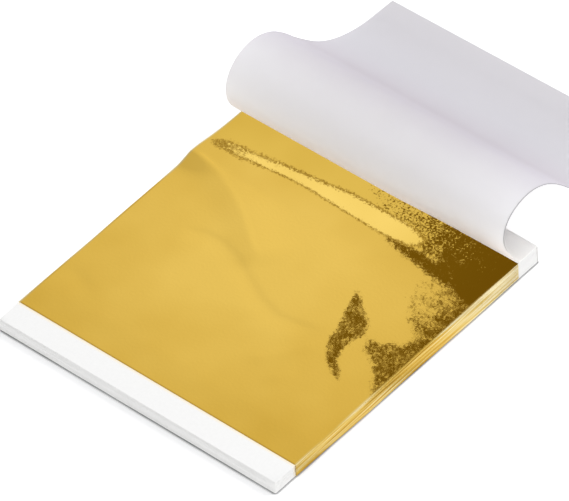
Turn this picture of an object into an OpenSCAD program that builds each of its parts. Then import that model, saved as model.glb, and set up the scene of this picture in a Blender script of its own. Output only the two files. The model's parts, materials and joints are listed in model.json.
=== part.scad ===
// Gold leaf booklet, opened at its top leaf.
// A pad of interleaving tissue sheets, with one loose metal leaf lying on each sheet.
// The sheets are bound by a glue film along the far edge (+Y).
// The first sheet is turned over: it rises from its glued foot, curls back and lies on the table.
// X runs along the bound edge, Y from the free edge to the bound edge, Z up.
// The origin is the centre of the pad's underside.

/* [Sheets] */
// Width of every sheet, along the bound edge
sheet_w = 85; // [60:1:160]
// Length of every sheet, from the free edge to the bound edge
sheet_l = 94.2; // [80:0.1:180]
// Bare margin between the leaf and the free edge
free_margin = 7.2; // [2:0.1:15]
// Bare margin between the leaf and the bound edge
bound_margin = 7; // [4:0.1:15]

/* [Pad] */
// Number of leaves, each lying on a sheet of its own
leaves = 20; // [2:1:20]
// Height of the pad at its free edge
free_h = 3.35; // [3:0.05:8]
// Height of the pad at its bound edge
bound_h = 5.15; // [4:0.05:12]
// Thickness of one metal leaf
leaf_t = 0.02; // [0.01:0.005:0.03]
// Clearance above and below each leaf in its slot
leaf_gap = 0.01; // [0.005:0.005:0.02]
// Thickness of the glue film on the bound edge
glue_t = 0.2; // [0.1:0.05:0.5]

/* [Turned page] */
// Number of narrow strips in the tight part of the curl
curl_strips = 7; // [6:1:12]
// Number of wider strips from there to the free edge
tail_strips = 3; // [3:1:6]
// Length of page that the narrow strips cover, measured from the fold
curl_zone = 48; // [36:0.5:50]
// Thickness of the page strips
page_t = 0.12; // [0.08:0.01:0.2]
// Gap between two strips at the line where they hinge
hinge_gap = 0.1; // [0.1:0.01:0.2]
// Angle at which the page leaves its fold, in degrees above the pad
rise_angle = 36; // [30:1:60]
// Length of page that bends over the top of the curl
curl_arc = 46; // [42:0.5:50]
// Distance along the page from the fold to where it begins to level out
settle_from = 44; // [40:0.5:50]
// Distance along the page from the fold to where it lies flat on the table
settle_to = 85; // [80:0.5:87]

/* [Hidden] */
// Free edge, bound edge and fold line along Y
free_y = -sheet_l / 2;
bound_y = sheet_l / 2;
fold_y = bound_y - bound_margin;
leaf_y = free_y + free_margin;
// The metal leaf ends a hair short of the fold line
leaf_end_y = fold_y - 0.05;
slot = leaf_t + 2 * leaf_gap;
// A page turned all the way back would clear the top leaf by this much
closed_gap = 0.03;
page_lift = leaf_gap + leaf_t + closed_gap;
// Above 1, the bend over the top starts gently and ends sharply
curl_power = 1.4;
page_l = sheet_l - bound_margin;
strips = curl_strips + tail_strips;

paper_white = [0.95, 0.95, 0.94];
tissue_grey = [0.87, 0.86, 0.89];
leaf_gold = [0.85, 0.66, 0.25];
glue_cream = [0.90, 0.88, 0.80];

function two_digits(i) = str(i < 10 ? "0" : "", i);

// Height of the upper face of sheet i at a distance y, sheet 1 lying on the table
function sheet_top(i, y) =
    i / leaves * (free_h + (bound_h - free_h) * (y - free_y) / sheet_l);

// Height of the lower face of sheet i: a leaf slot above the sheet under it
function sheet_bottom(i, y) = i == 1 ? 0 : sheet_top(i - 1, y) + slot;

// Tangent of the turned page at a distance s from its fold.
// 0 degrees points at the free edge, 90 straight up and 180 away from the pad.
function ease(u) = (1 - cos(180 * min(max(u, 0), 1))) / 2;
function page_angle(s, steepest) =
    rise_angle + (steepest - rise_angle) * pow(sin(90 * min(s / curl_arc, 1)), curl_power)
    - (steepest - 180) * ease((s - settle_from) / (settle_to - settle_from));

// Distance along the page from the fold to hinge line k
function hinge_s(k) =
    k <= curl_strips ? curl_zone * k / curl_strips
    : curl_zone + (page_l - curl_zone) * (k - curl_strips) / tail_strips;
function strip_l(k) = hinge_s(k) - hinge_s(k - 1);
function strip_angle(k, steepest) = page_angle((hinge_s(k - 1) + hinge_s(k)) / 2, steepest);

// Hinge line k, where 0 is the fold and strips is the page's free edge
hinge_0 = [fold_y, sheet_top(leaves, fold_y) + page_lift + page_t / 2];
function hinge_line(k, steepest) =
    k == 0 ? hinge_0
    : hinge_line(k - 1, steepest)
      + strip_l(k) * [-cos(strip_angle(k, steepest)), sin(strip_angle(k, steepest))];

// The steepest fall of the page is the one that brings its free edge down onto the table
function find_steepest(low, high, steps) =
    let (mid = (low + high) / 2)
    steps == 0 ? mid
    : hinge_line(strips, mid)[1] > page_t / 2 ? find_steepest(mid, high, steps - 1)
    : find_steepest(low, mid, steps - 1);
steepest = find_steepest(185, 275, 40);

// A profile drawn in Y and Z, as wide as the sheets
module across_sheet(profile) {
    rotate([90, 0, 90])
        linear_extrude(height = sheet_w, center = true)
            polygon(profile);
}

// Sheet i: it carries the pad's taper, so that each leaf slot has parallel faces
module interleaf(i) {
    color(paper_white)
        across_sheet([
            [free_y, sheet_bottom(i, free_y)],
            [bound_y, sheet_bottom(i, bound_y)],
            [bound_y, sheet_top(i, bound_y)],
            [free_y, sheet_top(i, free_y)]
        ]);
}

// Leaf i, loose on sheet i and flush with it at both sides
module gold_leaf(i) {
    color(leaf_gold)
        across_sheet([
            [leaf_y, sheet_top(i, leaf_y) + leaf_gap],
            [leaf_end_y, sheet_top(i, leaf_end_y) + leaf_gap],
            [leaf_end_y, sheet_top(i, leaf_end_y) + leaf_gap + leaf_t],
            [leaf_y, sheet_top(i, leaf_y) + leaf_gap + leaf_t]
        ]);
}

// Film of padding glue that holds all the sheets at their bound edge
module spine_glue() {
    color(glue_cream)
        across_sheet([
            [bound_y, 0],
            [bound_y + glue_t, 0],
            [bound_y + glue_t, bound_h + page_lift],
            [bound_y, bound_h + page_lift + page_t]
        ]);
}

// Bound margin of the turned page, glued down on the top sheet
module page_foot() {
    foot_y = fold_y + hinge_gap / 2;
    color(tissue_grey)
        across_sheet([
            [foot_y, sheet_top(leaves, foot_y)],
            [bound_y, sheet_top(leaves, bound_y)],
            [bound_y, sheet_top(leaves, bound_y) + page_lift + page_t],
            [foot_y, sheet_top(leaves, foot_y) + page_lift + page_t]
        ]);
}

// Strip k of the turned page, from hinge line k - 1 to hinge line k
module page_strip(k) {
    start = hinge_line(k - 1, steepest);
    color(tissue_grey)
        translate([0, start[0], start[1]])
            rotate([-strip_angle(k, steepest), 0, 0])
                translate([-sheet_w / 2, hinge_gap / 2 - strip_l(k), -page_t / 2])
                    cube([sheet_w, strip_l(k) - hinge_gap, page_t]);
}

spine_glue();
page_foot();
for (k = [1:strips]) page_strip(k);
for (i = [1:leaves]) interleaf(i);
for (i = [1:leaves]) gold_leaf(i);
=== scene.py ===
# Gold leaf booklet, opened at its top leaf: the finish, the light and the camera
import json
import math
import random

import bpy
import numpy as np
from mathutils import Matrix, Vector

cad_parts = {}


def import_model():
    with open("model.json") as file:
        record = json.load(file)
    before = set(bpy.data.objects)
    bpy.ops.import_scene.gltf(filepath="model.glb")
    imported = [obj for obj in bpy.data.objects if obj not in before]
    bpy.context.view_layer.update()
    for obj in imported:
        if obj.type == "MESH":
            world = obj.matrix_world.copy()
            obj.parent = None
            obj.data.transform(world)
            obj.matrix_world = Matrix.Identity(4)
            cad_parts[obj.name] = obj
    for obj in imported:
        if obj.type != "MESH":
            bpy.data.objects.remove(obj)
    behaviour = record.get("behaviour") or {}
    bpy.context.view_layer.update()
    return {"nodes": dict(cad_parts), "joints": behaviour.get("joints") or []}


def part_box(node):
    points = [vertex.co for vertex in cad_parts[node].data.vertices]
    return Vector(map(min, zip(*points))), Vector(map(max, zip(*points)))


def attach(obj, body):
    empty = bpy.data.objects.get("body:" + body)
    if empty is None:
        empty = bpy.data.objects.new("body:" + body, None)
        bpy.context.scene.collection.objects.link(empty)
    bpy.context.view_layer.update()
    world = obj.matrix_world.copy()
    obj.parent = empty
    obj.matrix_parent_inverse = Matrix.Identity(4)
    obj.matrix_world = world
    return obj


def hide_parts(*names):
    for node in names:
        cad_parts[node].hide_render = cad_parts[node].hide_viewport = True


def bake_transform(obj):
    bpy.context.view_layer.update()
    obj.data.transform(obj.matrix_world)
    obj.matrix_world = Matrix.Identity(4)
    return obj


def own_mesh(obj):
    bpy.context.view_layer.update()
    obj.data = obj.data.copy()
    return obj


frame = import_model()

MM = 0.001

# Sizes of the booklet, read from the frame, in millimetres
TOP_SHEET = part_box("interleaf_20")
TOP_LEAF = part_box("gold_leaf_20")
SHEETS = sum(1 for node in frame["nodes"] if node.startswith("interleaf_"))
STRIPS = sum(1 for node in frame["nodes"] if node.startswith("page_strip_"))
HALF_W = TOP_SHEET[1].x / MM
FREE_Y = TOP_SHEET[0].y / MM
BOUND_Y = TOP_SHEET[1].y / MM
LEAF_Y = TOP_LEAF[0].y / MM
LEAF_END_Y = TOP_LEAF[1].y / MM
BOUND_H = TOP_SHEET[1].z / MM
# Clearance under and over each leaf, and the height of the slot that it lies in
LEAF_GAP = 0.01
LEAF_SLOT = 0.04
LEAF_SHARE = (LEAF_Y - FREE_Y) / (BOUND_Y - FREE_Y)
FREE_H = (TOP_LEAF[0].z / MM - LEAF_GAP - BOUND_H * LEAF_SHARE) / (1 - LEAF_SHARE)
PAD_SLOPE = (BOUND_H - FREE_H) / (BOUND_Y - FREE_Y)
PAD_ANGLE = math.atan(PAD_SLOPE)

# Thickness of the page and of a leaf as they are shown
PAGE_T = 0.1
LEAF_T = 0.015
# Width of the page's cut end, and the length over which its foot bends into the fold
CUT_W = 0.35
FOLD_BEND = 1.4
# Points closer than this are one point
TOUCHING = 0.0001
# Patterns that follow a sheet or a leaf have one unit to 100 mm
UV_UNIT = 100
SEED = 11


def two_digits(i):
    return f"{i:02d}"


def sheet_top(i, y):
    """Height of the upper face of sheet i, in millimetres."""
    return i / SHEETS * (FREE_H + PAD_SLOPE * (y - FREE_Y))


def sheet_bottom(i, y):
    """Height of the lower face of sheet i, above the leaf under it."""
    return 0 * y if i == 1 else sheet_top(i - 1, y) + LEAF_SLOT


def smooth(a, b, v):
    """0 below a, 1 above b, and an even curve between them."""
    t = np.clip((v - a) / (b - a), 0, 1)
    return t * t * (3 - 2 * t)


def gauss(v, centre, width):
    return np.exp(-(((v - centre) / width) ** 2))


# Nodes
class Nodes:
    """A node tree, with a short way to make each kind of node that is used often."""

    def __init__(self, tree):
        self.nodes = tree.nodes
        self.links = tree.links

    def put(self, socket, value):
        """Link another node's output to a socket, or set the socket to a plain value."""
        if isinstance(value, bpy.types.NodeSocket):
            self.links.new(value, socket)
        else:
            socket.default_value = value

    def new(self, kind, inputs=None, **settings):
        made = self.nodes.new(kind)
        for name, value in settings.items():
            setattr(made, name, value)
        for name, value in (inputs or {}).items():
            self.put(made.inputs[name], value)
        return made

    def math(self, operation, *values, clamp=False):
        made = self.new("ShaderNodeMath", operation=operation, use_clamp=clamp)
        for socket, value in zip(made.inputs, values):
            self.put(socket, value)
        return made.outputs["Value"]

    def vector_math(self, operation, *values):
        made = self.new("ShaderNodeVectorMath", operation=operation)
        for socket, value in zip(made.inputs, values):
            self.put(socket, value)
        return made.outputs["Vector"]

    def scaled(self, vector, factor):
        made = self.new("ShaderNodeVectorMath", operation="SCALE")
        self.put(made.inputs[0], vector)
        self.put(made.inputs["Scale"], factor)
        return made.outputs["Vector"]

    def split(self, vector):
        return self.new("ShaderNodeSeparateXYZ", {"Vector": vector}).outputs

    def joined(self, x, y, z=0.0):
        return self.new("ShaderNodeCombineXYZ", {"X": x, "Y": y, "Z": z}).outputs["Vector"]

    def mapped(self, value, low, high, to_low=0.0, to_high=1.0, clamp=True):
        made = self.new("ShaderNodeMapRange", {
            "Value": value, "From Min": low, "From Max": high, "To Min": to_low, "To Max": to_high,
        }, clamp=clamp)
        return made.outputs["Result"]

    def mix(self, amount, a, b, kind="RGBA"):
        made = self.new("ShaderNodeMix", data_type=kind)
        for name, value in (("Factor", amount), ("A", a), ("B", b)):
            self.put(made.inputs[name], value)
        return made.outputs["Result"]

    def noise(self, place, scale, detail, roughness=0.5):
        made = self.new("ShaderNodeTexNoise", {
            "Vector": place, "Scale": scale, "Detail": detail, "Roughness": roughness,
        })
        return made.outputs["Fac"]

    def attribute(self, name):
        return self.new("ShaderNodeAttribute", attribute_name=name).outputs["Fac"]

    def ramp(self, value, stops):
        """Colours along a value, from a list of positions and colours."""
        made = self.new("ShaderNodeValToRGB", {"Fac": value})
        elements = made.color_ramp.elements
        for element, (position, colour) in zip(elements, (stops[0], stops[-1])):
            element.position = position
            element.color = colour
        for position, colour in stops[1:-1]:
            elements.new(position).color = colour
        return made.outputs["Color"]

    def coordinates(self, kind):
        return self.new("ShaderNodeTexCoord").outputs[kind]

    def bump(self, shader, height, strength, distance):
        made = self.new("ShaderNodeBump", {"Height": height, "Strength": strength, "Distance": distance})
        self.put(shader.inputs["Normal"], made.outputs["Normal"])

    def show(self, shader):
        """Make this shader what the surface shows."""
        self.put(self.nodes["Material Output"].inputs["Surface"], shader)

    def mixed_shaders(self, amount, a, b):
        made = self.new("ShaderNodeMixShader", {"Fac": amount})
        self.put(made.inputs[1], a)
        self.put(made.inputs[2], b)
        return made.outputs["Shader"]

    def seen_directly(self):
        """1 for rays from the camera, and for those that metal or tissue send on."""
        path = self.new("ShaderNodeLightPath").outputs
        first = self.math("MAXIMUM", path["Is Camera Ray"], path["Is Glossy Ray"])
        return self.math("MAXIMUM", first, path["Is Transmission Ray"])


def new_finish(name):
    """A new material, its nodes, and its shader."""
    made = bpy.data.materials.new(name)
    made.use_nodes = True
    return made, Nodes(made.node_tree), made.node_tree.nodes["Principled BSDF"]


# Materials
# Tone of the turned page by its length from the bound edge: near-white by the fold with a painted warm
# bounce from the gold, then painted shade that makes the roll and the tail a darker lavender-grey, darkest
# in the dip
PAGE_TONES_AND_PAINTED_LIGHT = [
    (0.04, (1.0, 0.99, 0.97, 1)),
    (0.09, (1.0, 0.97, 0.93, 1)),
    (0.15, (0.99, 0.955, 0.94, 1)),
    (0.21, (0.94, 0.935, 0.94, 1)),
    (0.33, (0.86, 0.85, 0.87, 1)),
    (0.45, (0.74, 0.715, 0.765, 1)),
    (0.58, (0.69, 0.66, 0.705, 1)),
    (0.75, (0.735, 0.725, 0.755, 1)),
    (0.95, (0.755, 0.74, 0.76, 1)),
]
# Tones of the leaves' bent side edges, from the deepest gold to the palest, chosen by random lines and by
# painted light
LIP_TONES = [
    (0.30, (0.36, 0.19, 0.02, 1)),
    (0.43, (0.62, 0.37, 0.05, 1)),
    (0.56, (0.70, 0.50, 0.13, 1)),
    (0.76, (0.90, 0.80, 0.50, 1)),
]


def paper_finish():
    """Pad paper with a fine fibre. Where it meets the leaf's near edge it has a painted warm glow, as
    light bounced from the gold.
    """
    made, nodes, shader = new_finish("pad_paper")
    shader.inputs["Roughness"].default_value = 0.75
    shader.inputs["Specular IOR Level"].default_value = 0.25
    place = nodes.coordinates("Object")
    fibre = nodes.noise(place, 1400, 3)
    tint = nodes.mix(fibre, (0.905, 0.90, 0.885, 1), (0.96, 0.955, 0.94, 1))
    from_leaf = nodes.math("SUBTRACT", nodes.split(place)["Y"], (LEAF_Y - 0.1) * MM)
    # Painted light: a warm glow bounced from the gold, within 0.75 mm of the leaf's near edge
    painted_gold_bounce = nodes.mapped(nodes.math("ABSOLUTE", from_leaf), 0.0, 0.75 * MM, 0.8, 0.0)
    nodes.put(shader.inputs["Base Color"], nodes.mix(painted_gold_bounce, tint, (1.0, 0.86, 0.60, 1)))
    nodes.bump(shader, fibre, 0.25, 0.02 * MM)
    return made


def tissue_finish():
    """Thin tissue. Its outer side carries painted light along its length, a warm bounce at the foot and
    shade darkening towards the free edge, and its inner side is white.
    """
    made, nodes, shader = new_finish("page_tissue")
    shader.inputs["Roughness"].default_value = 0.6
    shader.inputs["Specular IOR Level"].default_value = 0.25
    flat = nodes.coordinates("UV")
    cloud = nodes.noise(flat, 9, 3)
    fibre = nodes.noise(flat, 260, 2)
    length = nodes.math("MULTIPLY_ADD", cloud, 0.03, nodes.split(flat)["Y"])
    # Painted light and shade along the outer side, by length; the inner side is plain white
    two_sides = nodes.mix(nodes.attribute("inner"), nodes.ramp(length, PAGE_TONES_AND_PAINTED_LIGHT), (1, 1, 1, 1))
    # Painted shade: a grey line along the page's cut end
    colour = nodes.mix(nodes.attribute("cut"), two_sides, (0.42, 0.42, 0.43, 1))
    nodes.put(shader.inputs["Base Color"], colour)
    nodes.bump(shader, fibre, 0.2, 0.03 * MM)
    through = nodes.new("ShaderNodeBsdfTranslucent", {"Color": colour})
    nodes.show(nodes.mixed_shaders(0.58, shader.outputs["BSDF"], through.outputs["BSDF"]))
    return made


def foil_colour(nodes, place, waves):
    """Gold, paler in cloudy patches and under a painted highlight about the middle of the top leaf, and
    darker under painted shade along its edges.
    """
    middle = nodes.new("ShaderNodeVectorMath", operation="DISTANCE")
    nodes.put(middle.inputs[0], place)
    middle.inputs[1].default_value = (-0.006, 0.006, 0.004)
    # Painted highlight: the base colour is paler about the middle of the top leaf
    painted_middle_highlight = nodes.mapped(middle.outputs["Value"], 0.014, 0.062, 1.0, 0.0)
    clouds_and_highlight = nodes.math("MULTIPLY_ADD", waves, 0.9, nodes.math("SUBTRACT", painted_middle_highlight, 0.45), clamp=True)
    gold = nodes.mix(clouds_and_highlight, (0.70, 0.435, 0.060, 1), (0.85, 0.565, 0.108, 1))
    # Painted shade along each leaf's near and left edges
    return nodes.mix(nodes.attribute("edge"), gold, (0.36, 0.21, 0.02, 1))


def foil_finish():
    """Polished foil with a fine orange peel that follows the leaf, and duller, lined side edges whose tone
    carries painted light.
    """
    made, nodes, shader = new_finish("gold_foil")
    shader.inputs["Metallic"].default_value = 1
    flat = nodes.coordinates("UV")
    peel = nodes.noise(flat, 130, 2)
    waves = nodes.noise(flat, 5, 2)
    crackle = nodes.new("ShaderNodeTexVoronoi", {"Vector": flat}, feature="SMOOTH_F1")
    crackle.inputs["Scale"].default_value = 170
    lip = nodes.attribute("lip")
    lines = nodes.noise(nodes.joined(nodes.attribute("layer"), nodes.attribute("along")), 1.0, 1)
    # The side edges' tone comes from random lines, lifted by the painted light
    lip_tone_and_light = nodes.ramp(nodes.math("ADD", lines, nodes.attribute("pale")), LIP_TONES)
    colour = foil_colour(nodes, nodes.coordinates("Object"), waves)
    nodes.put(shader.inputs["Base Color"], nodes.mix(lip, colour, lip_tone_and_light))
    gloss = nodes.mapped(peel, 0.0, 1.0, 0.03, 0.09)
    nodes.put(shader.inputs["Roughness"], nodes.math("MULTIPLY_ADD", lip, 0.25, gloss))
    relief = nodes.math("MULTIPLY_ADD", crackle.outputs["Distance"], 0.5, peel)
    off_the_lips = nodes.math("MULTIPLY_ADD", lip, -1.0, 1.0)
    nodes.bump(shader, nodes.math("MULTIPLY", relief, off_the_lips), 0.5, 0.026 * MM)
    return made


def glue_finish():
    """Padding glue, brushed on."""
    made, nodes, shader = new_finish("padding_glue")
    shader.inputs["Roughness"].default_value = 0.45
    brush = nodes.noise(nodes.coordinates("Object"), 300, 4)
    tint = nodes.mix(brush, (0.88, 0.875, 0.85, 1), (0.93, 0.925, 0.91, 1))
    nodes.put(shader.inputs["Base Color"], tint)
    nodes.bump(shader, brush, 0.4, 0.08 * MM)
    return made


PAPER = paper_finish()
TISSUE = tissue_finish()
FOIL = foil_finish()
GLUE = glue_finish()


# Trees that turn an outline or a surface into a piece
class ShapeNodes(Nodes):
    """A Geometry Nodes tree with named inputs, whose last steps are the same for every piece."""

    def __init__(self, name, inputs):
        self.tree = bpy.data.node_groups.new(name, "GeometryNodeTree")
        super().__init__(self.tree)
        for input_name, kind in inputs:
            self.tree.interface.new_socket(input_name, in_out="INPUT", socket_type="NodeSocket" + kind)
        self.tree.interface.new_socket("Piece", in_out="OUTPUT", socket_type="NodeSocketGeometry")
        self.given = self.new("NodeGroupInput").outputs

    def named(self, name):
        made = self.new("GeometryNodeInputNamedAttribute", {"Name": name}, data_type="FLOAT_VECTOR")
        return made.outputs["Attribute"]

    def stored(self, shape, name, value, kind, where=True):
        made = self.new("GeometryNodeStoreNamedAttribute", data_type=kind, domain="POINT")
        for socket, given in (("Geometry", shape), ("Name", name), ("Value", value), ("Selection", where)):
            self.put(made.inputs[socket], given)
        return made.outputs["Geometry"]

    def moved(self, shape, where=True, **to):
        inputs = {"Geometry": shape, "Selection": where}
        inputs.update({name.capitalize(): value for name, value in to.items()})
        return self.new("GeometryNodeSetPosition", inputs).outputs["Geometry"]

    def turned_over(self, shape):
        return self.new("GeometryNodeFlipFaces", {"Mesh": shape}).outputs["Mesh"]

    def extruded(self, shape, mode, where=True):
        """New faces that still have no height, and the choice of their free side."""
        made = self.new("GeometryNodeExtrudeMesh", {
            "Mesh": shape, "Selection": where, "Offset Scale": 0.0,
        }, mode=mode)
        if mode == "FACES":
            made.inputs["Individual"].default_value = False
        return made.outputs["Mesh"], made.outputs["Top"]

    def one_piece(self, shapes, helper):
        """Join the shapes into one closed piece, drop the helper attribute and give the finish."""
        join = self.new("GeometryNodeJoinGeometry")
        for shape in shapes:
            self.links.new(shape, join.inputs["Geometry"])
        merge = self.new("GeometryNodeMergeByDistance", {
            "Geometry": join.outputs["Geometry"], "Distance": TOUCHING * MM,
        })
        plain = self.new("GeometryNodeRemoveAttribute",
                         {"Geometry": merge.outputs["Geometry"], "Name": helper})
        single = self.new("GeometryNodeRealizeInstances", {"Geometry": plain.outputs["Geometry"]})
        finished = self.new("GeometryNodeSetMaterial", {
            "Geometry": single.outputs["Geometry"], "Material": self.given["Finish"],
        })
        out = self.new("NodeGroupOutput")
        self.links.new(finished.outputs["Geometry"], out.inputs["Piece"])
        return self.tree


def cut_sheet_tree():
    """A sheet from its cut outline: it has the pad's taper, and its edges are worn by a small step."""
    nodes = ShapeNodes("cut_sheet", [
        ("Outline", "Geometry"), ("Worn", "Float"), ("Free edge", "Float"), ("Bound edge", "Float"),
        ("Under free", "Float"), ("Under bound", "Float"), ("Top free", "Float"), ("Top bound", "Float"),
        ("Finish", "Material"),
    ])
    given = nodes.given
    cut = nodes.named("cut_line")
    middle = nodes.math("MULTIPLY", nodes.math("ADD", given["Free edge"], given["Bound edge"]), 0.5)
    from_middle = nodes.vector_math("SUBTRACT", cut, nodes.joined(0.0, middle))
    # Away from the sheet's middle, by no more than 1 along each axis
    outward = nodes.vector_math("MAXIMUM", nodes.scaled(from_middle, 1 / MM), (-1, -1, -1))
    outward = nodes.vector_math("MINIMUM", outward, (1, 1, 1))
    worn_in = nodes.vector_math("SUBTRACT", cut, nodes.scaled(outward, given["Worn"]))

    def ring(line, side, lift):
        """The points of a line at the height of one side of the sheet."""
        axes = nodes.split(line)
        height = nodes.mapped(axes["Y"], given["Free edge"], given["Bound edge"],
                              given[side + " free"], given[side + " bound"], clamp=False)
        return nodes.joined(axes["X"], axes["Y"], nodes.math("MULTIPLY_ADD", given["Worn"], lift, height))

    place = nodes.new("GeometryNodeInputPosition").outputs["Position"]
    outline = nodes.stored(given["Outline"], "cut_line", place, "FLOAT_VECTOR")
    bottom = nodes.moved(outline, position=ring(worn_in, "Under", 0.0))
    body = bottom
    free_side = True
    for line, side, lift in ((cut, "Under", 1.0), (cut, "Top", -1.0), (worn_in, "Top", 0.0)):
        body, free_side = nodes.extruded(body, "FACES", free_side)
        body = nodes.moved(body, free_side, position=ring(line, side, lift))
    return nodes.one_piece([body, nodes.turned_over(bottom)], "cut_line")


def thin_wall_tree():
    """A closed thin wall around a surface, its upper side marked as the inner one."""
    nodes = ShapeNodes("thin_wall", [
        ("Surface", "Geometry"), ("Thickness", "Float"), ("Finish", "Material"),
    ])
    given = nodes.given
    outward = nodes.named("outward")
    half = nodes.scaled(outward, nodes.math("MULTIPLY", given["Thickness"], 0.5))
    upper = nodes.stored(nodes.moved(given["Surface"], offset=half), "inner", 1.0, "FLOAT")
    lower = nodes.moved(given["Surface"], offset=nodes.scaled(half, -1.0))
    lower = nodes.turned_over(nodes.stored(lower, "inner", 0.0, "FLOAT"))
    neighbours = nodes.new("GeometryNodeInputMeshEdgeNeighbors").outputs["Face Count"]
    rim = nodes.new("FunctionNodeCompare", data_type="INT", operation="EQUAL")
    for socket, value in zip([s for s in rim.inputs if s.enabled], (neighbours, 1)):
        nodes.put(socket, value)
    walled, free_side = nodes.extruded(upper, "EDGES", rim.outputs["Result"])
    walled = nodes.moved(walled, free_side, offset=nodes.scaled(half, -2.0))
    walled = nodes.stored(walled, "inner", 0.0, "FLOAT", free_side)
    return nodes.one_piece([walled, lower], "outward")


CUT_SHEET = cut_sheet_tree()
THIN_WALL = thin_wall_tree()


# Meshes
def new_piece(name, base, tree, sizes, sharp=40):
    """A piece from a base mesh and a tree, smooth but for edges sharper than an angle in degrees."""
    start = bpy.data.objects.new(name + "_base", base)
    bpy.context.scene.collection.objects.link(start)
    shaping = start.modifiers.new("shape", "NODES")
    shaping.node_group = tree
    sockets = {item.name: item.identifier for item in tree.interface.items_tree if item.in_out == "INPUT"}
    for input_name, value in sizes.items():
        shaping[sockets[input_name]] = value
    graph = bpy.context.evaluated_depsgraph_get()
    mesh = bpy.data.meshes.new_from_object(
        start.evaluated_get(graph), preserve_all_data_layers=True, depsgraph=graph)
    bpy.data.objects.remove(start)
    bpy.data.meshes.remove(base)
    mesh.name = name
    mesh.polygons.foreach_set("use_smooth", [True] * len(mesh.polygons))
    mesh.set_sharp_from_angle(angle=math.radians(sharp))
    piece = bpy.data.objects.new(name, mesh)
    bpy.context.scene.collection.objects.link(piece)
    return piece


def grid_faces(rows, columns):
    """Faces of a grid of points, numbered row by row."""
    at = np.arange(rows * columns).reshape(rows, columns)
    return np.stack([at[:-1, :-1], at[:-1, 1:], at[1:, 1:], at[1:, :-1]], axis=-1).reshape(-1, 4)


def set_uvs(mesh, uvs):
    """The UV map of a mesh, from one place for each point."""
    layer = mesh.uv_layers.new(name="flat")
    corner = np.zeros(len(mesh.loops), dtype=np.int32)
    mesh.loops.foreach_get("vertex_index", corner)
    layer.data.foreach_set("uv", uvs.reshape(-1, 2)[corner].astype(np.float32).ravel())


def set_attribute(mesh, name, values):
    """A number on every point of a mesh, for its material."""
    layer = mesh.attributes.new(name, "FLOAT", "POINT")
    layer.data.foreach_set("value", np.asarray(values, dtype=np.float32).ravel())


def grid_normals(grid):
    """Normals of a grid of points, rows along the first index."""
    along = np.gradient(grid, axis=0)
    across = np.gradient(grid, axis=1)
    normal = np.cross(across, along)
    return normal / np.linalg.norm(normal, axis=2, keepdims=True)


def walled_piece(name, grid, thickness, finish, uvs, attributes=()):
    """A closed thin wall around a grid of points in millimetres, its upper side along their normals."""
    mesh = bpy.data.meshes.new(name + "_surface")
    mesh.from_pydata((grid.reshape(-1, 3) * MM).tolist(), [], grid_faces(*grid.shape[:2]).tolist())
    set_uvs(mesh, uvs)
    outward = mesh.attributes.new("outward", "FLOAT_VECTOR", "POINT")
    outward.data.foreach_set("vector", grid_normals(grid).astype(np.float32).ravel())
    for attribute, values in attributes:
        set_attribute(mesh, attribute, values)
    return new_piece(name, mesh, THIN_WALL, {"Thickness": thickness * MM, "Finish": finish})


# Interleaving sheets
def sheet_outline(i, random_draw):
    """Cut outline of sheet i: a rectangle with slightly worn corners and edges."""
    corner, arc_points = 0.35, 6
    step = 1.5
    # The upper sheets lie a little back, which rounds the pad's near top edge
    back = 0.32 * math.exp(-(SHEETS - i) / 1.6)
    shift_x = random_draw.uniform(-0.07, 0.07)
    shift_y = random_draw.uniform(-0.06, 0.06) if i < SHEETS else 0
    phase = [random_draw.uniform(0, 2 * math.pi) for _ in range(4)]
    low = np.array([-HALF_W + 0.05 + shift_x, FREE_Y + 0.05 + back + shift_y])
    high = np.array([HALF_W - 0.05 + shift_x, BOUND_Y])
    corners = [(high[0], low[1]), (high[0], high[1]), (low[0], high[1]), (low[0], low[1])]
    turns = [-90, 0, 90, 180]
    outline = []
    for side in range(4):
        x, y = corners[side]
        centre = np.array([x - math.copysign(corner, x), y - corner if side in (1, 2) else y + corner])
        outline += [centre + corner * np.array([math.cos(a), math.sin(a)])
                    for a in np.radians(turns[side] + np.linspace(0, 90, arc_points))]
        end = np.array(corners[(side + 1) % 4])
        run = end - np.array([x, y])
        length = np.linalg.norm(run)
        count = int(length / step)
        outward = np.array([run[1], -run[0]]) / length
        for n in range(1, count):
            along = corner + (length - 2 * corner) * n / count
            wave = 0.025 * math.sin(along / 9 + phase[side]) + 0.015 * math.sin(along / 2.3 + phase[side])
            # The bound edge is cut straight
            wave *= side != 1
            outline.append(np.array([x, y]) + run / length * along + outward * wave)
    return np.array(outline)


def interleaf_sheet(i):
    outline = sheet_outline(i, random.Random(SEED * 100 + i))
    flat = np.column_stack([outline, np.zeros(len(outline))]) * MM
    name = "sheet_" + two_digits(i)
    mesh = bpy.data.meshes.new(name + "_outline")
    mesh.from_pydata(flat.tolist(), [], [list(range(len(flat)))])
    sizes = {"Worn": 0.03 * MM, "Free edge": FREE_Y * MM, "Bound edge": BOUND_Y * MM, "Finish": PAPER}
    for side, height in (("Under", sheet_bottom), ("Top", sheet_top)):
        sizes[side + " free"] = height(i, FREE_Y) * MM
        sizes[side + " bound"] = height(i, BOUND_Y) * MM
    piece = new_piece(name, mesh, CUT_SHEET, sizes)
    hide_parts("interleaf_" + two_digits(i))
    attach(piece, "pad")


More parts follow.
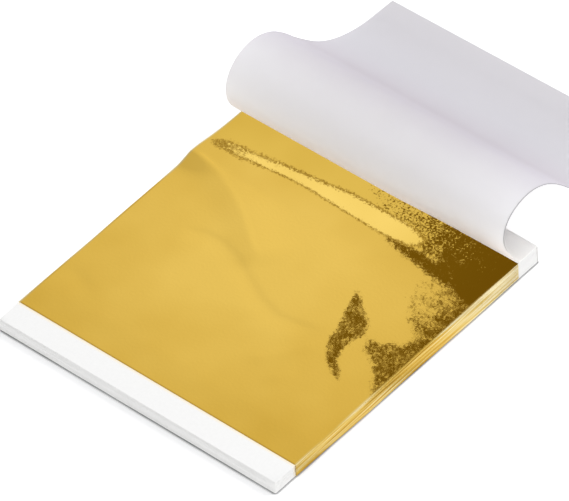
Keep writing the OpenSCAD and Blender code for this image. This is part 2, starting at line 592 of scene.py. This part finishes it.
# Metal leaves
def crease(x, y, path, height, left, right, fade=6):
    """A soft crease along a path of points, with a width of its own on each side."""
    nearest = np.full(x.shape, 1e9)
    aside = np.zeros(x.shape)
    along = np.zeros(x.shape)
    passed = 0
    for (ax, ay), (bx, by) in zip(path[:-1], path[1:]):
        run = np.array([bx - ax, by - ay])
        length = np.linalg.norm(run)
        part = np.clip(((x - ax) * run[0] + (y - ay) * run[1]) / length ** 2, 0, 1)
        distance = np.hypot(x - ax - part * run[0], y - ay - part * run[1])
        turn = np.sign((y - ay) * run[0] - (x - ax) * run[1])
        closer = distance < nearest
        nearest = np.where(closer, distance, nearest)
        aside = np.where(closer, distance * turn, aside)
        along = np.where(closer, passed + part * length, along)
        passed += length
    ends = smooth(0, fade, along) * (1 - smooth(passed - fade, passed, along))
    return height * np.exp(-((aside / np.where(aside > 0, left, right)) ** 2)) * ends


# Creases of the top leaf: path in (x, y), height, and width on the left and right of the path
CREASES = [
    ([(-46, 22.6), (-38.4, 21.8), (-33.2, 20.3), (-27.6, 17.8), (-22.4, 15.1), (-17.4, 11.8), (-12, 7.7),
      (-4, 2.5)], 0.24, 7.0, 4.6),
    ([(-44, 22.6), (-38.4, 21.8), (-33.2, 20.3), (-27.6, 17.8), (-22.4, 15.1), (-17.4, 11.8), (-12, 7.7),
      (-6, 4.0)], 0.035, 0.9, 1.2),
    ([(-28.5, 0.5), (-22.4, 3.1), (-17.2, 3.3), (-11.4, 1.6), (-5, -1.8), (2, -5.3), (8.4, -7), (14.9, -6),
      (21.2, -4.5)], -0.07, 1.3, 3.0),
    ([(9.7, -22), (14.5, -19.1), (18.5, -13.7), (23.2, -5.8)], 0.05, 1.6, 2.2),
    ([(18.2, -25.8), (21.4, -21.4), (23.8, -16.4)], 0.04, 1.4, 1.8),
    ([(-43.5, -24.5), (-37.1, -25.3), (-29.7, -28.6)], -0.06, 2.0, 2.5),
    ([(-36, 29), (20, 28.5)], 0.06, 1.6, 1.6),
]


def top_leaf_relief(x, y):
    """Height of the top leaf above the plane that it lies on."""
    rise = np.where(y < 21.5, gauss(y, 21.5, 3.2), gauss(y, 21.5, 8.5))
    height = rise * np.exp(-(np.clip(x + HALF_W, 0, None) / 6.0) ** 2)
    for path, height_there, left, right in CREASES:
        height += crease(x, y, path, height_there, left, right)
    height += 0.05 * (1 + np.sin(x / 7.3 + 1.1) * np.sin(y / 9.1 + 0.4))
    return height - min(height.min(), 0)


def leaf_grid(i, xs, ys):
    """Points of leaf i, its side edges bent down over the edge of the sheet under it, unevenly."""
    # Neighbours bend almost alike, so that they don't touch when all are pulled out together
    phase = (0.4 + 0.11 * i, 2.9 - 0.13 * i, 4.4 + 0.12 * i)
    x, y = np.meshgrid(xs, ys)
    z = sheet_top(i, y) + LEAF_SLOT / 2
    layer = sheet_top(1, y)
    # The columns beyond the half width are steps round the bend, from 0 to 1
    side = np.abs(x) - HALF_W
    over = smooth(0, 1, side)
    uneven = 0.5 + 0.25 * np.sin(y / 3.1 + phase[0]) + 0.25 * np.sin(y / 7.7 + phase[1])
    reach = 0.06 + 0.10 * uneven
    drop = layer * (0.62 + 0.22 * np.sin(y / 5.3 + phase[2]))
    # Under the curl the edges bend less
    shown = 1 - 0.75 * smooth(28, 40, y)
    bent_x = np.sign(x) * (HALF_W + reach * np.sin(over * math.pi / 2) * shown)
    bent_z = z - drop * shown * (1 - np.cos(over * math.pi / 2))
    x = np.where(side > 0, bent_x, x)
    z = np.where(side > 0, bent_z, z)
    return x, y, z


def leaf_sides(inside):
    """Positions across a leaf: the flat part, and five steps round each side edge."""
    edge = HALF_W + np.array([0.2, 0.4, 0.6, 0.8, 1.0])
    return np.concatenate([-edge[::-1], inside, edge])


def gold_leaf(i):
    top = i == SHEETS
    # The top leaf shows its relief, and the others show only their edges
    step = 0.5 if top else 1.0
    columns = int(2 * HALF_W / step) + 1 if top else 13
    ys = np.linspace(LEAF_Y, LEAF_END_Y, int((LEAF_END_Y - LEAF_Y) / step) + 1)
    inside = np.linspace(-HALF_W, HALF_W, columns)
    x, y, z = leaf_grid(i, leaf_sides(inside), ys)
    if top:
        z = z + top_leaf_relief(x, y) * smooth(LEAF_Y - 0.1, LEAF_Y + 9, y)
    grid = np.stack([x, y, z], axis=-1)
    # The shift gives each leaf a part of the pattern of its own
    uvs = np.stack([x + 3.7 * i, y], axis=-1) / UV_UNIT
    lip = smooth(HALF_W - 0.1, HALF_W + 0.05, np.abs(x))
    # Painted light on the side edges: paler on the top leaf and towards the far end, a little deeper about
    # y = -5 mm
    pale = (0.07 if top else 0.02) + 0.25 * smooth(10, 36, y) - 0.05 * gauss(y, -5, 18)
    # Painted shade: a darker band 0.5 mm wide along the near and left edges
    edge = 0.75 * np.clip(np.maximum(1 - (y - LEAF_Y) / 0.5, 1 - np.abs(x + HALF_W) / 0.5), 0, 1)
    attributes = (("lip", lip), ("layer", np.full(x.shape, 0.34 * i)), ("along", y / 22),
                  ("pale", pale), ("edge", edge))
    piece = walled_piece("leaf_" + two_digits(i), grid, LEAF_T, FOIL, uvs, attributes)
    node = "gold_leaf_" + two_digits(i)
    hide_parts(node)
    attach(piece, node)
    if top:
        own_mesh(piece)


# Turned page
def page_hinges():
    """Hinge lines of the page from the fold to its free edge, as (y, z) in millimetres."""
    turning = sorted(
        (j for j in frame["joints"] if j["name"].startswith("page_")),
        key=lambda j: int(j["child"].split("_")[-1]),
    )
    lines = [np.array(j["pos_m"][1:]) / MM for j in turning]
    low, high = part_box("page_strip_" + two_digits(STRIPS))
    lines.append(np.array([high.y, low.z]) / MM + (0, PAGE_T / 2))
    return lines


def bezier(a, b, c, t):
    """Points on a curve from a to c that is drawn towards b."""
    t = t[:, None]
    return (1 - t) ** 2 * a + 2 * t * (1 - t) * b + t ** 2 * c


def lengths_along(line):
    """Length from the start of a line of points to each of them."""
    return np.concatenate([[0], np.cumsum(np.linalg.norm(np.diff(line, axis=0), axis=1))])


def page_lean(length):
    """How far the page's right end stands in, by the length from the bound edge: 0 to 1."""
    return smooth(7.5, 12, length) * (1 - smooth(14, 26, length))


def page_piece(name, profile, lengths, replaced):
    """One length of the page: a profile in (y, z) drawn across the sheets' width."""
    xs = np.concatenate([np.linspace(-HALF_W, HALF_W - CUT_W, 86), [HALF_W]])
    grid = np.zeros((len(profile), len(xs), 3))
    grid[..., 0] = xs[None, :]
    grid[..., 1] = profile[:, 0][:, None]
    grid[..., 2] = profile[:, 1][:, None]
    # Near its right end the page stands a little further in, over the first turn of the curl
    turned_in = 1.3 * smooth(5, HALF_W, xs)[None, :] * page_lean(lengths)[:, None]
    run = np.gradient(profile, axis=0)
    run /= np.linalg.norm(run, axis=1, keepdims=True)
    grid[..., 1] += run[:, 1][:, None] * turned_in
    grid[..., 2] -= run[:, 0][:, None] * turned_in
    uvs = np.stack(np.meshgrid(xs, lengths), axis=-1) / UV_UNIT
    # Only the last row of points at the right end is darker, as painted shade along the page's cut end
    # where it rises
    cut = np.zeros(grid.shape[:2])
    cut[:, 0] = 0.8 * smooth(12, 20, lengths)
    piece = walled_piece(name, grid[:, ::-1], PAGE_T, TISSUE, uvs[:, ::-1], [("cut", cut)])
    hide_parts(replaced)
    return piece


def turned_page():
    lines = page_hinges()
    middles = [(a + b) / 2 for a, b in zip(lines[:-1], lines[1:])]
    # Places along each bend, closer together at its ends
    fine = np.concatenate([[0, 0.02], np.linspace(0.06, 0.94, 17), [0.98, 1]])
    fold = lines[0]
    back = fold + FOLD_BEND * np.array([1, PAD_SLOPE])
    foot_end = np.array([BOUND_Y, fold[1] + (BOUND_Y - fold[0]) * PAD_SLOPE])
    foot = np.linspace(foot_end, back, 8)[:-1]
    first = np.concatenate([foot, bezier(back, fold, middles[0], fine)])
    steps = lengths_along(first)
    piece = page_piece("page_00", first, steps, "page_foot")
    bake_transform(piece)
    length = steps[-1]
    for k in range(1, STRIPS):
        curve = bezier(middles[k - 1], lines[k], middles[k], fine)
        steps = length + lengths_along(curve)
        node = "page_strip_" + two_digits(k)
        piece = page_piece("page_" + two_digits(k), curve, steps, node)
        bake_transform(piece)
        length = steps[-1]
    tail = np.linspace(middles[-1], lines[-1], 10)
    steps = length + lengths_along(tail)
    node = "page_strip_" + two_digits(STRIPS)
    piece = page_piece("page_" + two_digits(STRIPS), tail, steps, node)
    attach(piece, node)


# Glue film
def glue_film():
    low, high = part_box("spine_glue")
    xs = np.linspace(low.x, high.x, 86) / MM
    zs = np.linspace(0.02, high.z / MM - 0.03, 14)
    x, z = np.meshgrid(xs, zs)
    thick = (high.y - low.y) / MM
    y = low.y / MM + thick * (0.5 + 0.12 * np.sin(x / 2.7) * np.sin(z * 1.9 + x / 6.1))
    grid = np.stack([x, y, z], axis=-1)
    uvs = np.stack([x, z], axis=-1) / UV_UNIT
    piece = walled_piece("glue_film", grid[::-1], thick * 0.7, GLUE, uvs)
    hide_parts("spine_glue")
    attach(piece, "pad")


# Surroundings
def floor():
    """A white table. Only a thin dark line, a painted contact shadow from occlusion, shows where something
    touches it.
    """
    made, nodes, shader = new_finish("table")
    shader.inputs["Roughness"].default_value = 0.9
    shader.inputs["Specular IOR Level"].default_value = 0.0
    # Painted contact shadow: for camera rays, occlusion within 0.8 mm darkens the table's colour and its
    # glow
    contact = nodes.new("ShaderNodeAmbientOcclusion", {"Distance": 0.8 * MM}).outputs["AO"]
    from_camera = nodes.new("ShaderNodeLightPath").outputs["Is Camera Ray"]
    open_to_light = nodes.mix(from_camera, 1.0, nodes.math("POWER", contact, 2.6), "FLOAT")
    shade = nodes.mix(open_to_light, (0.12, 0.12, 0.12, 1), (0.9, 0.9, 0.9, 1))
    nodes.put(shader.inputs["Base Color"], shade)
    # The glow is weaker in front, where a soft shadow lies along the near edge, and stronger further back,
    # where it paints light over the shadows
    y = nodes.split(nodes.coordinates("Object"))["Y"]
    further = nodes.mapped(y, -0.045, -0.015, 0.20, 0.42)
    level = nodes.math("MULTIPLY", nodes.seen_directly(), further)
    glow = nodes.new("ShaderNodeEmission", {"Strength": nodes.math("MULTIPLY", level, open_to_light)})
    both = nodes.new("ShaderNodeAddShader")
    nodes.put(both.inputs[0], shader.outputs["BSDF"])
    nodes.put(both.inputs[1], glow.outputs["Emission"])
    nodes.show(both.outputs["Shader"])
    half, height = 3.0, -0.02 * MM
    mesh = bpy.data.meshes.new("table")
    mesh.from_pydata([(-half, -half, height), (half, -half, height), (half, half, height),
                      (-half, half, height)], [], [[0, 1, 2, 3]])
    mesh.materials.append(made)
    table = bpy.data.objects.new("table", mesh)
    bpy.context.scene.collection.objects.link(table)


def world():
    """Even light, with a white room around it that is a little dimmer overhead."""
    made = bpy.data.worlds.new("studio")
    bpy.context.scene.world = made
    made.use_nodes = True
    made.cycles.sampling_method = "NONE"
    made.node_tree.nodes.clear()
    nodes = Nodes(made.node_tree)
    soft = nodes.new("ShaderNodeBackground", {"Color": (0.98, 0.985, 1.0, 1), "Strength": 0.72})
    lower = nodes.new("ShaderNodeVectorMath", operation="DOT_PRODUCT")
    nodes.put(lower.inputs[0], nodes.coordinates("Generated"))
    lower.inputs[1].default_value = (0.47, 0.83, -0.28)
    mirrored = nodes.mapped(lower.outputs["Value"], -0.22, 0.12, 0.78, 1.06)
    from_camera = nodes.new("ShaderNodeLightPath").outputs["Is Camera Ray"]
    level = nodes.mix(from_camera, mirrored, 1.0, "FLOAT")
    white = nodes.new("ShaderNodeBackground", {"Color": (1, 1, 1, 1), "Strength": level})
    out = nodes.new("ShaderNodeOutputWorld")
    nodes.put(out.inputs["Surface"], nodes.mixed_shaders(
        nodes.seen_directly(), soft.outputs["Background"], white.outputs["Background"]))


def softbox(name, place, size, power):
    """A square lamp that faces the booklet."""
    lamp = bpy.data.lights.new(name, "AREA")
    lamp.size = size
    lamp.energy = power
    made = bpy.data.objects.new(name, lamp)
    made.location = place
    toward = Vector((0, 0, 0)) - Vector(place)
    made.rotation_euler = toward.to_track_quat("-Z", "Y").to_euler()
    # The foil mirrors only the white room
    made.visible_glossy = False
    bpy.context.scene.collection.objects.link(made)


# The camera's direction in degrees, the point that it faces and its distance, in millimetres
AZIMUTH, ELEVATION, ROLL = (math.radians(a) for a in (43.52, 44.74, -4.0))
FACED = Vector((-7.0, 13.6, 0))
CAMERA_AWAY = 1548
VIEW_BACK = Vector((
    math.sin(AZIMUTH) * math.cos(ELEVATION),
    -math.cos(AZIMUTH) * math.cos(ELEVATION),
    math.sin(ELEVATION),
))
VIEW_FROM = FACED + VIEW_BACK * CAMERA_AWAY


def camera():
    focal_px, picture_px, sensor_mm = 6584, 569, 36
    right = (-VIEW_BACK).cross(Vector((0, 0, 1))).normalized()
    up = right.cross(-VIEW_BACK)
    turned_right = math.cos(ROLL) * right + math.sin(ROLL) * up
    turned_up = -math.sin(ROLL) * right + math.cos(ROLL) * up
    data = bpy.data.cameras.new("camera")
    data.sensor_fit = "HORIZONTAL"
    data.sensor_width = sensor_mm
    data.lens = focal_px * sensor_mm / picture_px
    made = bpy.data.objects.new("camera", data)
    axes = Matrix((turned_right, turned_up, VIEW_BACK)).transposed()
    made.matrix_world = Matrix.Translation(VIEW_FROM * MM) @ axes.to_4x4()
    bpy.context.scene.collection.objects.link(made)
    bpy.context.scene.camera = made


# The painted reflection card: outlines of the dark patches and the bright streak that it paints into what
# the foil mirrors, by where they show on the foil, as (x, y) in mm
HOOK = [(18.1, 10.9), (19.1, 7.6), (21.0, 1.8), (22.4, -2.3), (22.8, -4.9), (24.5, -8.0), (26.7, -10.6),
        (29.7, -12.7), (33.2, -14.0), (32.8, -12.4), (29.0, -8.9), (27.7, -5.9), (27.6, -2.4),
        (28.6, 0.4), (27.9, 3.0), (26.3, 5.1), (23.0, 7.4)]
SIDE = [(44.0, -13.4), (42.4, -12.6), (39.4, -8.1), (35.8, -4.5), (31.8, -2.4), (30.9, 0.5), (33.6, 0.6),
        (35.8, 2.6), (38.4, 3.8), (39.1, 8.4), (44.0, 7.0)]
SIDE_BROKEN = [(44.0, 22.7), (40.5, 22.7), (35.2, 23.9), (31.2, 24.1), (29.6, 21.2), (30.6, 16.4),
               (33.9, 11.7), (38.7, 8.5), (40.2, 4.8), (44.0, 6.8)]
FAR = [(10.9, 27.9), (15.3, 28.8), (19.4, 29.0), (22.9, 29.2), (26.7, 28.4), (25.7, 32.1), (22.0, 35.1),
       (17.7, 38.8), (18.0, 41.5), (44.0, 41.5), (44.0, 21.5), (40.5, 21.9), (35.4, 23.7), (31.2, 24.1),
       (25.3, 24.9), (20.0, 25.8), (15.1, 26.6)]
FAR_BROKEN = [(-2.0, 41.5), (0.0, 38.8), (6.5, 35.7), (12.6, 34.6), (20.7, 33.3), (20.6, 30.0),
              (24.0, 29.5), (28.5, 29.0), (26.0, 33.0), (18.0, 41.5)]
STREAK = [(-40.8, 28.9), (-37.2, 29.9), (-33.2, 30.4), (-28.6, 30.9), (-22.7, 31.6), (-18.3, 32.0),
          (-9.2, 33.0), (-3.3, 34.1), (5.2, 34.3), (10.7, 34.3), (15.2, 34.1), (20.4, 32.6),
          (20.1, 30.4), (17.5, 28.8), (13.8, 28.5), (8.9, 28.1), (-0.8, 28.6), (-10.5, 29.1),
          (-16.1, 29.1), (-26.0, 27.8), (-31.0, 27.4), (-34.6, 27.6), (-38.2, 27.4)]


def inside_by(x, y, outline):
    """Distance from each point to an outline, positive inside it."""
    nearest = np.full(x.shape, 1e9)
    inside = np.zeros(x.shape, dtype=bool)
    for (ax, ay), (bx, by) in zip(outline, outline[1:] + outline[:1]):
        run = np.array([bx - ax, by - ay])
        along = np.clip(((x - ax) * run[0] + (y - ay) * run[1]) / (run @ run), 0, 1)
        nearest = np.minimum(nearest, np.hypot(x - ax - along * run[0], y - ay - along * run[1]))
        crosses = (ay > y) != (by > y)
        with np.errstate(divide="ignore", invalid="ignore"):
            inside ^= crosses & (x < ax + (y - ay) * run[0] / (run[1] or 1e-9))
    return np.where(inside, nearest, -nearest)


def card_finish():
    """Emission that paints the foil's reflection: a white part, painted dark patches and a painted bright
    streak, and clear elsewhere.
    """
    made, nodes, shader = new_finish("painted_reflection_card")
    nodes.nodes.remove(shader)
    place = nodes.new("ShaderNodeUVMap").outputs["UV"]
    crinkle = nodes.noise(place, 185, 4, 0.65)
    clumps = nodes.noise(place, 42, 2)

    def spread(name, rough, low, high, clumped=0.0):
        """From 0 outside a shape to 1 inside it, its edge broken by the crinkles and clumps."""
        centred = nodes.math("SUBTRACT", crinkle, 0.5)
        edge = nodes.math("MULTIPLY_ADD", centred, rough, nodes.attribute(name))
        uneven = nodes.math("MULTIPLY_ADD", clumps, clumped, edge)
        return nodes.mapped(uneven, low + clumped / 2, high + clumped / 2)

    dark = spread("dark", 8.0, -0.35, 0.35, 2.6)
    rim = spread("streak", 5.0, -0.9, -0.3)
    bright = spread("streak", 5.0, 0.0, 0.5)
    behind = spread("behind", 1.0, 0.0, 1.5)
    dimmer = spread("behind", 0.0, 6.0, 10.5)
    colour = (0.94, 0.94, 0.94, 1)
    # Painted reflection: dark patches, a dark rim and a bright streak on a white ground, dimmer further
    # back
    for amount, shade in (
        (dimmer, (0.92, 0.93, 0.87, 1)),
        (dark, (0.21, 0.155, 0.026, 1)),
        (rim, (0.42, 0.36, 0.20, 1)),
        (bright, (1.16, 1.24, 1.55, 1)),
    ):
        colour = nodes.mix(amount, colour, shade)
    shown = nodes.math("MAXIMUM", nodes.math("MAXIMUM", behind, dark), rim)
    glow = nodes.new("ShaderNodeEmission", {"Color": colour})
    clear = nodes.new("ShaderNodeBsdfTransparent")
    nodes.show(nodes.mixed_shaders(shown, clear.outputs["BSDF"], glow.outputs["Emission"]))
    return made


def card_parts(x, y):
    """How far each place on the card is inside its painted dark patches, its painted bright streak and its
    white part.
    """
    def shape(outline, steep, cap):
        """Distance into a shape, steeper outside it and no more than a cap inside."""
        within = inside_by(x, y, outline)
        return np.minimum(np.where(within < 0, steep * within, within), cap)

    dark = np.maximum.reduce([
        shape(HOOK, 3.0, 0.60),
        shape(SIDE, 0.9, 0.62),
        shape(SIDE_BROKEN, 0.6, np.clip(0.14 * (x - 36), -0.5, 0.7)),
        shape(FAR, 1.4, 0.25 + 0.075 * np.hypot(x - 20, y - 38)),
        shape(FAR_BROKEN, 1.0, -0.42 + 0.05 * (x - 8)),
    ])
    streak = shape(STREAK, 1.4, np.clip(0.13 * (x + 36), -0.62, 9))
    return {"dark": dark, "streak": streak, "behind": y - 21}


def painted_reflection_card():
    """A glowing card that only the foil's reflections show, held on the rays that it mirrors to the main
    camera, so that it paints dark patches and a bright streak into the foil's reflection.
    """
    margin, from_y, columns, rows = 1, -18, 176, 117
    x, y = np.meshgrid(np.linspace(-HALF_W - margin, HALF_W + margin, columns),
                       np.linspace(from_y, LEAF_END_Y, rows))
    foil = np.stack([x, y, sheet_top(SHEETS, y) + LEAF_SLOT / 2], axis=-1)
    normal = np.array([0, -math.sin(PAD_ANGLE), math.cos(PAD_ANGLE)])
    ray = foil - np.array(VIEW_FROM)
    ray /= np.linalg.norm(ray, axis=2, keepdims=True)
    mirrored = ray - 2 * (ray @ normal)[..., None] * normal
    # Under the curl the card stays in front of the page
    away = np.minimum(0.12 + 0.7 * (LEAF_END_Y - y), 12)
    points = foil + mirrored * away[..., None]
    parts = card_parts(x, y)
    # The card ends 5 mm outside its shapes, where it is clear
    quads = grid_faces(rows, columns)
    used = (np.maximum.reduce(list(parts.values())).ravel()[quads] > -5).any(axis=1)
    mesh = bpy.data.meshes.new("painted_reflection_card")
    mesh.from_pydata((points.reshape(-1, 3) * MM).tolist(), [], quads[used].tolist())
    for name, values in parts.items():
        set_attribute(mesh, name, values)
    set_uvs(mesh, np.stack([x, y], axis=-1) / UV_UNIT)
    mesh.materials.append(card_finish())
    card = bpy.data.objects.new("painted_reflection_card", mesh)
    bpy.context.scene.collection.objects.link(card)
    for kind in ("camera", "diffuse", "transmission", "volume_scatter", "shadow"):
        setattr(card, "visible_" + kind, False)


camera()
world()
floor()
softbox("back_softbox", (0.38, 0.72, 0.96), 0.6, 5.8)
softbox("front_softbox", (0.52, -0.95, 0.42), 0.8, 2.5)
painted_reflection_card()
for i in range(1, SHEETS + 1):
    interleaf_sheet(i)
for i in range(1, SHEETS + 1):
    gold_leaf(i)
turned_page()
glue_film()

bpy.context.scene.view_settings.view_transform = "Standard"
